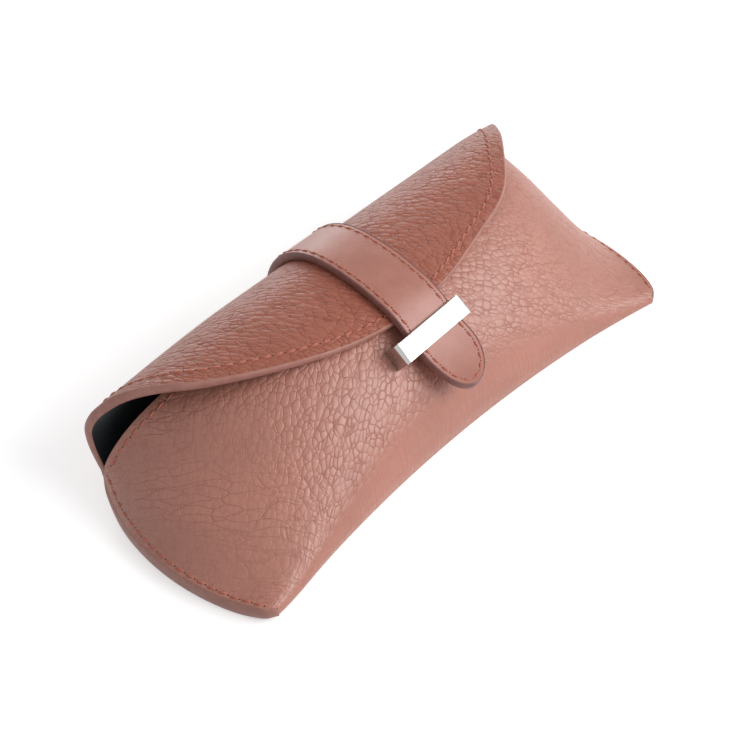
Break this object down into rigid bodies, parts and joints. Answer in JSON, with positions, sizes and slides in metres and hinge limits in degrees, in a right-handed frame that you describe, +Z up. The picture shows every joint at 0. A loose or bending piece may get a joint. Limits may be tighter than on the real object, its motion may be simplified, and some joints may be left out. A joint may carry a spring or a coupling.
{
  "type": "eyeglass case",
  "caption": "Leather spectacle case: a padded pouch lying on its back, a rolled flap over its mouth, and a strap tucked through a metal loop.",
  "frame": {"origin": "on the flat underside of the back panel, midway along the case, 34.5 mm in from the line through the two bottom corners", "axes": "+X along the case, +Y from the bottom fold to the rolled back, +Z up off the table"},
  "size_m": [0.1652, 0.0689, 0.0428],
  "materials": {
    "leather": "pebbled, semi-gloss, terracotta brown",
    "strap_leather": "smooth, semi-gloss, terracotta brown",
    "board": "matt bonded leatherboard stiffener",
    "lining": "matt microfibre suede, blue black",
    "thread": "waxed polyester thread, red brown",
    "chrome": "mirror polished",
    "steel": "plain stamped sheet"
  },
  "bodies": {
    "case": {"back_leather": "leather", "back_board": "board", "back_lining": "lining", "front_leather": "leather", "front_board": "board", "front_lining": "lining", "seam_thread_left": "thread", "seam_thread_right": "thread", "mouth_thread": "thread", "strap_loop": "chrome", "loop_plate": "steel"},
    "flap": {"flap_leather": "leather", "flap_board": "board", "flap_lining": "lining", "flap_thread": "thread", "strap_base_leather": "strap_leather", "strap_base_core": "board", "strap_base_backing": "strap_leather", "strap_base_thread": "thread", "anchor_thread": "thread"},
    "strap": {"strap_leather": "strap_leather", "strap_core": "board", "strap_backing": "strap_leather", "strap_thread": "thread"}
  },
  "joints": [
    {"name": "flap_hinge", "type": "hinge", "parent": "case", "child": "flap", "pos_m": [0, 0.02779, 0.01011], "axis": [-1, 0, 0], "range_deg": [0, 95]},
    {"name": "strap_pull", "type": "hinge", "parent": "flap", "child": "strap", "pos_m": [0, -0.04527, 0.06334], "axis": [1, 0, 0], "range_deg": [0, 30.5]}
  ]
}
